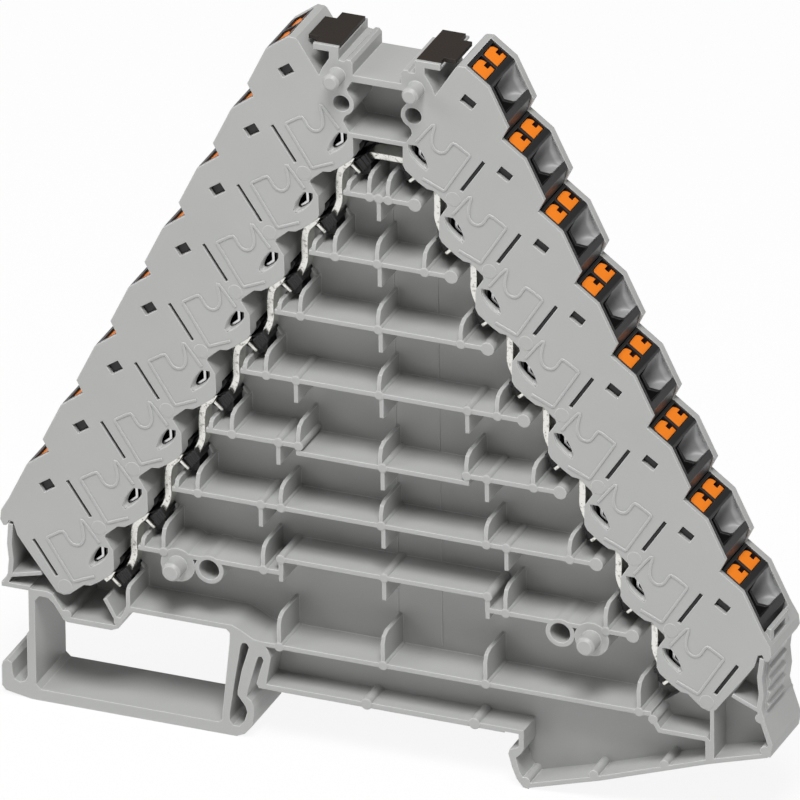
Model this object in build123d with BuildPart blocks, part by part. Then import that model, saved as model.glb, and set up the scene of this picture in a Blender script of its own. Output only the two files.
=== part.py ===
"""Eight-level feed-through terminal block with push-in clamps on two stepped flanks.

Millimetres, +Z up, +X to the right, the open front faces -Y. The origin is on the standing
surface, below the middle of the block. One moulded housing holds sixteen contact inserts,
each with two push buttons, a bent current bar, clamp springs and two marker strips.
"""
import os
from math import hypot

from build123d import *

os.makedirs("parts", exist_ok=True)

# Depths, measured backwards from the front face
DEPTH = 9.2
PEG_LENGTH = 2.4
PLATE = 0.6
BACK = 1.0
CELL_DEPTH = 5.9
FRONT_Y = -(DEPTH - PEG_LENGTH) / 2

# Walls and running gaps
WALL = 0.6
RIB = 0.5
GAP = 0.1

# Levels of the two flanks: each one steps outwards and down
LEVELS = 8
LEVEL_RUN = 4.542
LEVEL_DROP = 8.753
NOTCH = (11.3, 95.15)
BUTTON_FACET = (2.95, -2.2)
WIRE_FACET = (2.4, -4.95)
SEAM = (-0.559, -0.829)

# Inner edge of a flank beside the first level, from the top corner down to the seam corner
INNER_EDGE = [(3.2, 83.3), (3.15, 80.8), (3.5, 80.1), (5.1, 78.8), (6.2, 78.1), (7.1, 78.0),
              (8.7, 76.6), (8.8, 76.2)]

# Head: deck, beads, marker carriers, pegs and bores
HEAD_TOP = 94.9
DECK_TOP = 91.5
DECK = 0.9
DECK_HALF = 3.1
CARRIER_INNER = 4.9
CARRIER_OUTER = 8.1
CARRIER_FLANGE = 0.8
MARKER = 0.5
MARKER_LENGTH = 8.1
MARKER_WIDTH = 2.95
MARKER_LIP = 0.45
MARKER_TAB = (1.5, 5.1)
MARKER_TAB_START = 1.8
TOP_PEG = (5.05, 91.15)
TOP_PEG_RADIUS = 1.05
TOP_BORE = (4.6, 87.5)
TOP_BORE_RADIUS = 1.05
TOP_BOSS = 1.6
FOOT_PEG = (26.65, 21.75)
FOOT_PEG_RADIUS = 1.2
FOOT_BORE = (22.6, 21.85)
FOOT_BORE_RADIUS = 1.3
FOOT_BOSS = 1.85
PEG_FLANGE = 2.2
PEG_TIP = 0.35
PEG_TAPER = 40
SOCKET_CLEARANCE = 0.1

# Centre field: shelves that widen by one level each, with guide ribs
SHELVES = 7
SHELF_TOP = 75.95
SHELF_LEFT = 4.5
SHELF_RIGHT = 4.6
BEAD = 0.85
GUIDE_HEIGHT = 2.6
GUIDE_CHAMFER = 0.7
GUIDE_OUTER = 1.2
LIP_INSET = 0.6
LIP_HEIGHT = 1.1
HANGER = 3.3
POST = 0.6
RAISED_SHELF = 24.95
LOWERED_SHELF = 39.7
BOTTOM_SHELF = 13.1
UPPER_SHELF = 83.5

# Mounting foot
SEAT_TOP = 7.05
SEAT_SHELF = 0.7
POCKET_START = 15.3
POCKET_TOP = SEAT_TOP + 0.15

# Inserts and their pockets
POLES = 2
INSERT_FACET = 5.0
PARTITION = 0.5
FUNNEL_SIDE = 0.4
WIRE_SPAN = 2.3

# Wire entries, as (way down the wire facet, depth below it)
FUNNEL = [(0.3, -0.5), (0.3, 0.0), (2.7, 3.8), (4.45, 3.8), (4.95, 2.4), (4.05, 0.2), (4.05, -0.5)]
TROUGH = [(0.3, -0.5), (0.3, 0.0), (1.5, 1.6), (3.3, 1.5), (3.9, 0.5), (4.05, -0.5)]
WIRE_HOLE = [(2.9, 3.7), (4.3, 3.7), (5.5, 6.0), (4.1, 6.0)]
CLAMP_ROOM = [(8.2, 89.3), (10.3, 88.7), (12.2, 84.0), (12.2, 82.3), (9.0, 77.9), (6.9, 79.3),
              (4.4, 81.3), (4.4, 83.2), (5.9, 84.6), (7.6, 88.3)]
LUG_SINK = 0.15
WINDOW = (1.8, 1.25)
WINDOW_PLACE = (11.65, 90.6)
WINDOW_TURN = -34
LUG_CLEARANCE = 0.08
SLIT = 0.45
SLIT_START = 4.1
SLIT_LENGTH = 5.3

# Push buttons
BUTTON_WIDTH = 2.2
BUTTON_SPAN = 3.1
BUTTON_LENGTH = 3.2
BUTTON_START = 0.6
BUTTON_SINK = 0.25
BUTTON_TRAVEL = 1.0
BUTTON_ROUND = 0.95
BUTTON_NOTCH = (0.62, 0.85)
BUTTON_NOTCH_SHIFT = 0.12
NOTCH_DEPTH = 1.5
BUTTON_GAP = 0.1
BUTTON_POCKET = 6.3

# Current bar
BAR = 0.6
BAR_FRONT = 3.0
BAR_WIDTH = 2.1
BAR_TOP = 79.7
LUG_FRONT = 2.0
LUG_LENGTH = 1.5

# Clamp springs
SPRING = 0.35
SPRING_SIDE = 0.3
SPRING_PATH = [(6.3, 80.7), (4.95, 81.9), (5.0, 83.0), (6.6, 84.9), (8.1, 88.2), (9.9, 87.9),
               (10.4, 86.6), (9.8, 83.8)]


def at_depth(depth):
    """Upright drawing plane this far behind the front face; what is drawn there grows forwards."""
    return Plane.XZ.offset(-(FRONT_Y + depth))


def stepped(points, level):
    """The same points beside another level of the right flank."""
    return [(x + LEVEL_RUN * level, z - LEVEL_DROP * level) for x, z in points]


def along(start, direction, length):
    """Point reached from start after a length along a direction."""
    scale = length / hypot(*direction)
    return (start[0] + direction[0] * scale, start[1] + direction[1] * scale)


def beside(points, distance):
    """Line that keeps an even distance to the left of a line of points."""
    sides = []
    for a, b in zip(points, points[1:]):
        length = hypot(b[0] - a[0], b[1] - a[1])
        sides.append(((a[1] - b[1]) / length, (b[0] - a[0]) / length))
    normals = [sides[0]]
    for before, after in zip(sides, sides[1:]):
        joint = 1 + before[0] * after[0] + before[1] * after[1]
        normals.append(((before[0] + after[0]) / joint, (before[1] + after[1]) / joint))
    normals.append(sides[-1])
    return [(x + nx * distance, z + nz * distance) for (x, z), (nx, nz) in zip(points, normals)]


def strip(points, width):
    """Outline of a wall of even width that follows a line of points, with square ends."""
    return beside(points, width / 2) + beside(points, -width / 2)[::-1]


def box_outline(x_low, x_high, z_low, z_high):
    """Upright rectangle by its edges."""
    return [(x_low, z_low), (x_high, z_low), (x_high, z_high), (x_low, z_high)]


def facet_points(level):
    """Notch, crest and lower end of one level's two outer facets, on the right flank."""
    crest = (NOTCH[0] + BUTTON_FACET[0], NOTCH[1] + BUTTON_FACET[1])
    end = (crest[0] + WIRE_FACET[0], crest[1] + WIRE_FACET[1])
    return stepped([NOTCH, crest, end], level)


LAST_NOTCH = stepped([NOTCH], LEVELS)[0]


def inner_line():
    """Inner edge of the right flank, from the head's top down to the end wall."""
    line = [(10.1, HEAD_TOP), (7.35, 90.6), (6.4, 87.0), (4.4, 85.1), (3.75, 84.0)]
    for level in range(LEVELS):
        line.extend(stepped(INNER_EDGE, level))
    end = stepped([(4.4, 85.2), (5.2, 84.95), (6.1, 85.2), (10.0, 90.4)], LEVELS)
    return line[:-2] + end


def flank_outline():
    """Right flank as seen from the front: outer facets, end corner and wavy inner edge."""
    outer = [point for level in range(LEVELS) for point in facet_points(level)]
    corner = stepped([(13.16, 94.93), (13.3, 93.7), (12.9, 92.95), (12.5, 93.0), (12.15, 93.75),
                      (11.6, 93.6), (11.1, 91.95)], LEVELS)
    return outer + corner + inner_line()[::-1] + [(10.4, HEAD_TOP + 0.2)]


def chamber_outline(wall):
    """Room for the inserts, inside the inner edge by one wall and open at the outer facets."""
    inner = beside(inner_line(), wall)
    return inner + [along(LAST_NOTCH, SEAM, 3), along(LAST_NOTCH, SEAM, -4), along(NOTCH, SEAM, -4),
                    along(NOTCH, SEAM, 0.4)]


def level_band():
    """Room that the first level's insert may fill, between its seams, on the right flank."""
    top = along(NOTCH, BUTTON_FACET, GAP)
    bottom = stepped([NOTCH], 1)[0]
    _, crest, _ = facet_points(0)
    end = along(crest, WIRE_FACET, INSERT_FACET)
    inner_top = along(top, SEAM, 8.0)
    inner_bottom = along(bottom, SEAM, 16.0)
    return [top, crest, end, bottom, inner_bottom, (2.0, 78.0), (2.0, 83.4), (4.9, 84.4),
            (6.1, 86.2), inner_top]


NOSE = [(0.95, 79.95), (1.4, 80.75), (4.4, 81.3), (5.9, 79.5), (3.6, 77.2), (2.9, 76.7), (2.3, 77.9)]
NOSE_DOOR = [(2.6, 81.4), (4.6, 81.75), (6.5, 79.4), (5.2, 77.9), (3.0, 78.6)]
BAR_PATH = [(2.85, BAR_TOP), (4.95, 78.2), (6.2, 76.6), (6.45, 75.4), (6.1, 73.7), (6.6, 72.2)]
BAR_LUG = ((4.0, 78.35), (-0.46, 0.89))
PEEP_HOLE = [(3.9, 83.6), (3.9, 82.9), (4.35, 82.0), (5.15, 81.2), (6.15, 80.5), (6.45, 80.9),
             (6.1, 82.0), (5.6, 82.9), (5.0, 83.6)]
KEY = [(11.8, 83.55), (9.75, 84.9), (9.4, 84.6), (8.75, 83.5), (8.05, 83.2), (7.35, 83.45),
       (6.95, 84.2), (7.0, 85.3), (7.45, 87.0), (7.2, 87.25), (6.85, 86.8), (6.2, 85.0), (6.9, 81.0),
       (8.5, 78.4)]
KEY_DEPTH = 0.12
HEAD = [(0, DECK_TOP - DECK), (DECK_HALF + 0.15, DECK_TOP - DECK), (3.9, 89.4), (3.45, 88.3),
        (3.45, 86.7), (4.3, 85.6), (4.4, 85.0), (6.5, 87.0), (7.45, 90.6), (7.0, 91.8), (6.1, 93.2),
        (6.1, HEAD_TOP - CARRIER_FLANGE), (CARRIER_OUTER, HEAD_TOP - CARRIER_FLANGE),
        (CARRIER_OUTER, HEAD_TOP), (CARRIER_INNER, HEAD_TOP), (CARRIER_INNER, 93.2), (4.2, 93.1),
        (3.9, 93.4), (3.4, 93.4), (DECK_HALF, 93.0), (DECK_HALF, DECK_TOP), (0, DECK_TOP)]

# Left part of the foot: toe, springy latch arm and the open window above the bar
LEFT_FOOT = [(-46.15, 14.9), (-46.15, 9.2), (-46.45, 8.8), (-46.45, 3.0), (-46.75, 2.3), (-47.45, 2.0),
             (-48.15, 2.3), (-48.4, 3.0), (-48.5, 4.4), (-49.05, 4.75), (-49.65, 4.4), (-49.8, 3.8),
             (-49.8, 1.2), (-49.3, 0.6), (-46.0, 0.0), (-19.4, 0.0), (-18.3, 0.5), (-17.4, 1.6),
             (-17.1, 2.9), (-17.1, 4.3), (-17.4, 5.1), (-18.0, 5.55), (-17.8, 6.6), (-16.6, 10.8),
             (-16.35, 11.3), (-15.95, 11.35), (-15.75, 10.9), (-16.7, 7.6), (-16.4, SEAT_TOP),
             (-15.4, SEAT_TOP), (-15.4, 8.0), (-15.0, 10.2), (-14.8, 11.4), (-15.2, 12.4),
             (-15.8, 13.4), (-17.0, 13.5), (-18.6, 14.4), (-19.8, 14.9), (-33.4, 14.9),
             (-34.2, 13.2), (-35.0, 12.0), (-40.6, 12.0), (-41.8, 12.9), (-43.0, 14.7),
             (-43.7, 14.95)]
WINDOW_OPENING = [(-45.35, 13.4), (-44.7, 14.15), (-43.6, 14.1), (-42.9, 13.5), (-41.6, 11.5),
                  (-41.1, 11.3), (-35.4, 11.3), (-34.5, 11.7), (-33.1, 14.0), (-32.6, 14.25),
                  (-20.5, 14.25), (-20.05, 13.8), (-20.1, 12.5), (-21.15, 3.0), (-21.2, 1.9),
                  (-21.6, 1.5), (-44.7, 1.5), (-45.35, 2.1)]
LATCH_SLOT = [(-18.7, 12.2), (-18.45, 12.75), (-17.9, 12.8), (-17.6, 12.3), (-18.6, 9.0),
              (-19.15, 6.2), (-19.15, 5.6), (-18.2, 4.3), (-17.95, 3.5), (-18.3, 2.3), (-19.0, 1.4),
              (-19.8, 1.4), (-20.25, 2.0), (-20.2, 3.0), (-19.6, 7.0)]
HOOK = [(-15.4, SEAT_TOP), (POCKET_START, SEAT_TOP), (POCKET_START, POCKET_TOP), (17.1, POCKET_TOP),
        (17.1, 5.5), (16.7, 5.2), (15.9, 4.9), (15.75, 4.3), (16.2, 2.6), (16.8, 1.1), (17.6, 0.1),
        (18.3, 0.0), (18.4, 0.7), (17.8, 1.1), (17.1, 2.2), (16.7, 3.9), (17.4, 4.6), (17.75, 5.3),
        (17.75, SEAT_TOP + SEAT_SHELF), (-15.4, SEAT_TOP + SEAT_SHELF)]
FOOT_WALLS = [
    ([(18.1, 0.4), (27.5, 3.2), (41.5, 8.1), (49.0, 10.35)], WALL),
    ([(49.1, 10.2), (49.4, 11.8), (48.3, 15.2), (48.0, 16.4), (48.3, 18.4), (48.1, 20.6),
      (48.45, 23.2)], WALL),
    ([(34.4, 12.5), (35.2, 11.1), (41.1, 11.1), (41.4, 10.8), (41.4, 8.2)], WALL),
    ([(41.95, 8.3), (42.0, 15.4)], RIB),
    ([(44.6, 17.6), (48.1, 16.1)], RIB),
    ([(-49.6, 14.95), (-45.9, 14.95)], WALL),
    ([(-49.1, 15.1), (-48.5, 16.4), (-48.3, 18.4), (-48.5, 20.6), (-48.3, 23.2)], WALL),
    ([(-48.4, 16.3), (-44.4, 17.3)], RIB),
    ([(-34.6, 12.5), (-36.2, 15.4)], RIB),
]
# Finger grip outside the right end wall, and the loop that closes the end of the right flank
GRIP = [(48.2, 15.2), (48.9, 16.4), (48.55, 16.8), (49.0, 18.1), (48.65, 18.5), (49.1, 19.8),
        (48.75, 20.2), (49.2, 21.5), (48.85, 21.9), (49.4, 23.3), (49.5, 24.9), (48.5, 24.6),
        (48.2, 23.2), (47.9, 20.6), (48.1, 18.4), (47.8, 16.4)]
GRIP_DEPTHS = (1.2, 6.2)
END_LOOP = box_outline(48.75, 49.3, 24.5, 26.9)
LOOP_WINDOW = box_outline(48.0, 50.0, 25.2, 26.3)
LOOP_DEPTHS = (0.9, 6.4)
LOOP_FRAME = 0.9
POSTS = [(17.9, 0.9), (26.7, 3.5), (35.8, 6.6), (48.7, 10.9), (48.1, 15.1), (34.4, 12.4),
         (-34.5, 12.6), (-41.2, 12.3), (-17.0, 12.6)]
BOTTOM_BACK = [(-4.4, 84.5), (4.4, 84.5), (41.0, 17.5), (47.0, 21.5), (48.4, 23.2), (48.1, 20.6),
               (48.3, 18.4), (48.0, 16.4), (48.3, 15.2), (49.4, 11.8), (49.1, 10.2), (41.5, 8.0),
               (27.5, 3.1), (18.3, 0.2), (16.8, 1.2), (15.8, 4.4), (17.0, 5.4), (17.1, POCKET_TOP),
               (POCKET_START, POCKET_TOP), (POCKET_START, SEAT_TOP), (-15.4, SEAT_TOP), (-15.0, 11.5),
               (-16.0, 13.0), (-20.0, 14.5), (-32.8, 14.5), (-34.5, 11.6), (-41.2, 11.5),
               (-43.2, 14.3), (-49.5, 14.8), (-48.5, 16.4), (-48.3, 18.4), (-48.5, 20.6),
               (-48.3, 23.2), (-47.0, 21.5), (-41.0, 17.5)]
CENTRE_BACK = [(-4.4, DECK_TOP), (4.4, DECK_TOP), (5.5, 84.5), (41.0, 17.5), (34.4, 12.8),
               (-16.0, 12.8), (-20.0, 14.5), (-32.8, 14.5), (-34.6, 12.6), (-41.0, 17.5), (-5.5, 84.5)]


def shelf_lines():
    """Outlines of the flat shelves of the centre field, each between its two ends."""
    lines = [box_outline(-3.9, 3.9, UPPER_SHELF - WALL / 2, UPPER_SHELF + WALL / 2)]
    for row in range(SHELVES):
        top = SHELF_TOP - LEVEL_DROP * row
        left = -SHELF_LEFT - LEVEL_RUN * row
        right = SHELF_RIGHT + LEVEL_RUN * row
        if row in (4, 6):
            middle, inner = {4: (LOWERED_SHELF, 10.8), 6: (RAISED_SHELF, 13.3)}[row]
            step = WALL if middle > top - WALL else -WALL
            lines.append(box_outline(left, -inner, top - WALL, top))
            lines.append(box_outline(inner, right, top - WALL, top))
            lines.append(box_outline(-inner, inner, middle - WALL / 2, middle + WALL / 2))
            low = min(top - WALL, middle - WALL / 2)
            high = max(top, middle + WALL / 2)
            lines.append(box_outline(-inner - abs(step) / 2, -inner + abs(step) / 2, low, high))
            lines.append(box_outline(inner - abs(step) / 2, inner + abs(step) / 2, low, high))
        else:
            lines.append(box_outline(left, right, top - WALL, top))
    lines.append(box_outline(-16.0, 34.2, BOTTOM_SHELF - WALL / 2, BOTTOM_SHELF + WALL / 2))
    return lines


def guide_places():
    """Foot (x, z) and height of each guide rib that stands on a shelf."""
    places = []
    for row in range(SHELVES):
        top = SHELF_TOP - LEVEL_DROP * row
        outer = GUIDE_OUTER + LEVEL_RUN * row
        height = GUIDE_HEIGHT if row < 6 else GUIDE_HEIGHT + 0.5
        places += [(-outer, top, height), (outer, top, height)]
        places.append((-SHELF_LEFT - LEVEL_RUN * row + LIP_INSET, top, LIP_HEIGHT))
        if row in (1, 2, 3, 5):
            places.append((-0.3, top, height))
        if row >= 4:
            inner = 10.8 + 2.4 * (row - 4)
            places += [(-inner, top, height), (inner, top, height)]
    places.append((-0.3, LOWERED_SHELF + WALL / 2, GUIDE_HEIGHT))
    floor = BOTTOM_SHELF + WALL / 2
    places += [(x, floor, GUIDE_HEIGHT + 1.3) for x in (-13.7, -0.3, 12.9, 32.6)]
    places.append((-33.2, 14.9, GUIDE_HEIGHT))
    return places


def hanger_places():
    """Top (x, z) of each rib that hangs under a shelf."""
    places = []
    for row in range(SHELVES - 1):
        top = SHELF_TOP - LEVEL_DROP * row - WALL
        places.append((0.0, LOWERED_SHELF - WALL / 2 if row == 4 else top))
        if row >= 3:
            side = 11.0 + 2.4 * (row - 3)
            places += [(-side, top), (side, top)]
    low = RAISED_SHELF - WALL / 2
    places += [(-13.3, low), (0.0, low), (13.3, low)]
    return places


def rib_face(x, base, end, cut):
    """Side view of one guide rib: sunk into its shelf, with the front corner cut back."""
    sink = -WALL / 2 if end > base else WALL / 2
    back = FRONT_Y + CELL_DEPTH + BACK / 2
    with BuildSketch(Plane.YZ.offset(x - RIB / 2)) as side:
        Polygon((FRONT_Y, base + sink), (FRONT_Y, end - cut), (FRONT_Y + abs(cut) / 3, end - cut / 3),
                (FRONT_Y + abs(cut), end), (back, end), (back, base + sink), align=None)
    return side.sketch.face()


GUIDES = [(x, z, z + height, GUIDE_CHAMFER) for x, z, height in guide_places()]
HANGERS = [(x, z, z - HANGER, -GUIDE_CHAMFER) for x, z in hanger_places()]

with BuildPart() as housing:
    with BuildSketch(at_depth(DEPTH)):
        Polygon(*flank_outline(), align=None)
        Polygon(*HEAD, align=None)
        with Locations(TOP_BORE):
            Circle(TOP_BOSS)
        mirror(about=Plane.YZ)
    extrude(amount=DEPTH)
    with BuildSketch(at_depth(DEPTH)):
        Polygon(*CENTRE_BACK, align=None)
    extrude(amount=DEPTH - CELL_DEPTH)
    with BuildSketch(at_depth(DEPTH)):
        Polygon(*BOTTOM_BACK, align=None)
    extrude(amount=BACK)
    # Long foot bar, latch arm and the walls of the lower corners stand through the whole depth
    with BuildSketch(at_depth(DEPTH)):
        Polygon(*LEFT_FOOT, align=None)
        Polygon(*HOOK, align=None)
        for line, width in FOOT_WALLS:
            Polygon(*strip(line, width), align=None)
        with Locations(*POSTS):
            Circle(POST)
        Polygon(*WINDOW_OPENING, align=None, mode=Mode.SUBTRACT)
        Polygon(*LATCH_SLOT, align=None, mode=Mode.SUBTRACT)
    extrude(amount=DEPTH)
    # Shelves, beads and bosses of the centre field
    with BuildSketch(at_depth(DEPTH - BACK / 2)):
        for outline in shelf_lines():
            Polygon(*outline, align=None)
        for row in range(SHELVES):
            with Locations((SHELF_RIGHT + LEVEL_RUN * row, SHELF_TOP - LEVEL_DROP * row - WALL / 2)):
                Circle(BEAD)
        with Locations((FOOT_PEG[0], FOOT_PEG[1]), (-FOOT_PEG[0], FOOT_PEG[1])):
            Circle(PEG_FLANGE)
        with Locations((FOOT_BORE[0], FOOT_BORE[1]), (-FOOT_BORE[0], FOOT_BORE[1])):
            Circle(FOOT_BOSS)
    extrude(amount=DEPTH - BACK / 2)
    # Guide ribs stand on the shelves and hang below them, with their front corner cut back
    extrude([rib_face(*rib) for rib in GUIDES + HANGERS], amount=RIB, dir=(1, 0, 0))
    # Chambers behind the front plates, open at the outer facets
    with BuildSketch(at_depth(DEPTH - BACK)):
        Polygon(*chamber_outline(WALL), align=None)
        with Locations(TOP_BORE):
            Circle(TOP_BOSS, mode=Mode.SUBTRACT)
        mirror(about=Plane.YZ)
    extrude(amount=DEPTH - BACK - PLATE, mode=Mode.SUBTRACT)
    # Finger grip and end loop outside the right end wall
    for outline, depths, mode in ((GRIP, GRIP_DEPTHS, Mode.ADD), (END_LOOP, LOOP_DEPTHS, Mode.ADD),
                                  (LOOP_WINDOW, (LOOP_DEPTHS[0] + LOOP_FRAME, LOOP_DEPTHS[1] - LOOP_FRAME),
                                   Mode.SUBTRACT)):
        with BuildSketch(at_depth(depths[1])):
            Polygon(*outline, align=None)
        extrude(amount=depths[1] - depths[0], mode=mode)
    # Doors in the inner wall for the noses of the inserts and the current bar
    with BuildSketch(at_depth(CELL_DEPTH)):
        for level in range(LEVELS):
            Polygon(*stepped(NOSE_DOOR, level), align=None)
        mirror(about=Plane.YZ)
    extrude(amount=CELL_DEPTH - LUG_FRONT + GAP, mode=Mode.SUBTRACT)
    # Windows, slits and slanted peep holes in the front plates
    with BuildSketch(at_depth(PLATE)):
        for level in range(LEVELS):
            with Locations(*stepped([WINDOW_PLACE], level)):
                Rectangle(*WINDOW, rotation=WINDOW_TURN)
            slit_start = along(NOTCH, SEAM, SLIT_START)
            slit_end = along(slit_start, SEAM, SLIT_LENGTH)
            Polygon(*strip(stepped([slit_start, slit_end], level + 1), SLIT), align=None)
            Polygon(*stepped(PEEP_HOLE, level), align=None)
        mirror(about=Plane.YZ)
    extrude(amount=PLATE, mode=Mode.SUBTRACT)
    with BuildSketch(at_depth(KEY_DEPTH)):
        for level in range(LEVELS):
            Polygon(*stepped(KEY, level), align=None)
        mirror(about=Plane.YZ)
    extrude(amount=KEY_DEPTH, mode=Mode.SUBTRACT)
    # Channels for the marker strips
    with BuildSketch(at_depth(DEPTH)):
        Polygon(*box_outline(CARRIER_INNER, CARRIER_OUTER, HEAD_TOP - MARKER, HEAD_TOP + 1), align=None)
        mirror(about=Plane.YZ)
    extrude(amount=DEPTH - MARKER_LIP, mode=Mode.SUBTRACT)
    # Pegs towards the front with tapered tips, and sockets behind them for a neighbour's pegs
    for place, radius in ((TOP_PEG, TOP_PEG_RADIUS), (FOOT_PEG, FOOT_PEG_RADIUS)):
        both = (place, (-place[0], place[1]))
        with BuildSketch(at_depth(0)):
            with Locations(*both):
                Circle(radius)
        extrude(amount=PEG_LENGTH - PEG_TIP)
        with BuildSketch(at_depth(PEG_TIP - PEG_LENGTH)):
            with Locations(*both):
                Circle(radius)
        extrude(amount=PEG_TIP, taper=PEG_TAPER)
        with BuildSketch(at_depth(DEPTH)):
            with Locations(*both):
                Circle(radius + SOCKET_CLEARANCE)
        extrude(amount=PEG_LENGTH + SOCKET_CLEARANCE, mode=Mode.SUBTRACT)
    # Through bores for the pins of an end cover
    for place, radius in ((TOP_BORE, TOP_BORE_RADIUS), (FOOT_BORE, FOOT_BORE_RADIUS)):
        with BuildSketch(at_depth(DEPTH)):
            with Locations(place, (-place[0], place[1])):
                Circle(radius)
        extrude(amount=DEPTH, mode=Mode.SUBTRACT)
    # Shallow field in the rear face that keeps the back wall even
    with BuildSketch(at_depth(DEPTH)):
        Polygon((-2.2, 80.8), (2.2, 80.8), (33.0, 21.4), (33.0, 15.6), (-33.0, 15.6), (-33.0, 21.4),
                align=None)
        with Locations((FOOT_PEG[0], FOOT_PEG[1]), (-FOOT_PEG[0], FOOT_PEG[1])):
            Circle(PEG_FLANGE, mode=Mode.SUBTRACT)
        with Locations((FOOT_BORE[0], FOOT_BORE[1]), (-FOOT_BORE[0], FOOT_BORE[1])):
            Circle(FOOT_BOSS, mode=Mode.SUBTRACT)
    extrude(amount=DEPTH - CELL_DEPTH - BACK, mode=Mode.SUBTRACT)

housing.part.label = "housing"
export_step(housing.part, "parts/housing.step")

# Contact inserts: one moulding for each level, with two poles side by side
INSERT_FRONT = PLATE + GAP
INSERT_BACK = DEPTH - BACK - GAP
POLE = (INSERT_BACK - INSERT_FRONT) / POLES
MIDDLE = INSERT_FRONT + POLE
CREST = (NOTCH[0] + BUTTON_FACET[0], NOTCH[1] + BUTTON_FACET[1])


def facet_plane(start, run, distance, depth):
    """Plane on an outer facet: x runs down the facet, y runs backwards, z points outwards."""
    length = hypot(*run)
    x, z = along(start, run, distance)
    return Plane(origin=(x, FRONT_Y + depth, z), x_dir=(run[0] / length, 0, run[1] / length),
                 z_dir=(-run[1] / length, 0, run[0] / length))


def below_facet(points):
    """Upright (x, z) points from ways down the first wire facet and depths below it."""
    length = hypot(*WIRE_FACET)
    run, drop = WIRE_FACET[0] / length, WIRE_FACET[1] / length
    return [(CREST[0] + run * down + drop * deep, CREST[1] + drop * down - run * deep)
            for down, deep in points]


def pole_depth(pole):
    """Depth of the middle of a pole."""
    return INSERT_FRONT + POLE * (pole + 0.5)


BAR_STRIP = [stepped([BAR_PATH[-1]], -1)[0]] + BAR_PATH
LUG_LINE = [along(BAR_LUG[0], BAR_LUG[1], -LUG_LENGTH / 2), along(BAR_LUG[0], BAR_LUG[1], LUG_LENGTH / 2)]
SLIT_LINE = stepped([along(NOTCH, SEAM, SLIT_START), along(NOTCH, SEAM, SLIT_START + SLIT_LENGTH)], 1)

with BuildPart() as insert:
    with BuildSketch(at_depth(INSERT_BACK)):
        Polygon(*chamber_outline(WALL + GAP), align=None)
        Polygon(*level_band(), align=None, mode=Mode.INTERSECT)
    extrude(amount=INSERT_BACK - INSERT_FRONT)
    # Rooms for the clamp springs, one on each side of the partition
    for back, room in ((INSERT_BACK, INSERT_BACK - MIDDLE - PARTITION / 2),
                       (MIDDLE - PARTITION / 2, MIDDLE - PARTITION / 2 - INSERT_FRONT)):
        with BuildSketch(at_depth(back)):
            Polygon(*CLAMP_ROOM, align=None)
        extrude(amount=room, mode=Mode.SUBTRACT)
    # Button pockets
    for pole in range(POLES):
        with BuildSketch(facet_plane(NOTCH, BUTTON_FACET, BUTTON_START + BUTTON_WIDTH / 2,
                                     pole_depth(pole))):
            Rectangle(BUTTON_WIDTH + 2 * BUTTON_GAP, BUTTON_SPAN + 2 * BUTTON_GAP)
        extrude(amount=-BUTTON_POCKET, mode=Mode.SUBTRACT)
    # Wire entries: each funnel ends in a hole, the rear one is open to the back wall
    for outline, front, rear in ((FUNNEL, INSERT_FRONT + FUNNEL_SIDE, MIDDLE - PARTITION / 2),
                                 (FUNNEL, MIDDLE + PARTITION / 2, INSERT_BACK),
                                 (TROUGH, INSERT_FRONT + FUNNEL_SIDE, INSERT_BACK),
                                 (WIRE_HOLE, pole_depth(0) - WIRE_SPAN / 2, pole_depth(0) + WIRE_SPAN / 2),
                                 (WIRE_HOLE, pole_depth(1) - WIRE_SPAN / 2, pole_depth(1) + WIRE_SPAN / 2)):
        with BuildSketch(at_depth(rear)):
            Polygon(*below_facet(outline), align=None)
        extrude(amount=rear - front, mode=Mode.SUBTRACT)
    # Nose that holds the current bar, with the bar's slot
    with BuildSketch(at_depth(CELL_DEPTH - GAP)):
        Polygon(*NOSE, align=None)
    extrude(amount=CELL_DEPTH - BAR_FRONT - 2 * GAP)
    with BuildSketch(at_depth(BAR_FRONT + BAR_WIDTH + GAP)):
        Polygon(*strip([(-1.0, BAR_TOP)] + BAR_PATH[:3], BAR + 2 * GAP), align=None)
        Polygon(*strip(BAR_STRIP[:2], BAR + 2 * GAP), align=None)
        Polygon(*strip(LUG_LINE, BAR + 2 * GAP), align=None)
    extrude(amount=BAR_WIDTH + GAP, mode=Mode.SUBTRACT)
    # Latch lug and seam rib that show in the front plate
    with BuildSketch(at_depth(INSERT_FRONT + GAP)):
        with Locations(WINDOW_PLACE):
            Rectangle(WINDOW[0] - 2 * LUG_CLEARANCE, WINDOW[1] - 2 * LUG_CLEARANCE, rotation=WINDOW_TURN)
    extrude(amount=INSERT_FRONT + GAP - LUG_SINK)
    with BuildSketch(at_depth(INSERT_FRONT)):
        Polygon(*strip(SLIT_LINE, SLIT - 2 * LUG_CLEARANCE), align=None)
    extrude(amount=INSERT_FRONT - LUG_SINK)

# Push button: a stem with a screwdriver notch towards the rear and two rounded corners
with BuildPart() as button:
    top = facet_plane(NOTCH, BUTTON_FACET, BUTTON_START + BUTTON_WIDTH / 2, pole_depth(0))
    with BuildSketch(top.offset(-BUTTON_SINK)) as outline:
        Rectangle(BUTTON_WIDTH, BUTTON_SPAN)
        fillet(outline.vertices().group_by(Axis.X)[0], radius=BUTTON_ROUND)
    extrude(amount=-BUTTON_LENGTH)
    with BuildSketch(top.offset(-BUTTON_SINK)):
        with Locations((BUTTON_NOTCH_SHIFT, (BUTTON_SPAN - BUTTON_NOTCH[1]) / 2)):
            Rectangle(*BUTTON_NOTCH)
    extrude(amount=-NOTCH_DEPTH, mode=Mode.SUBTRACT)

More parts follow.
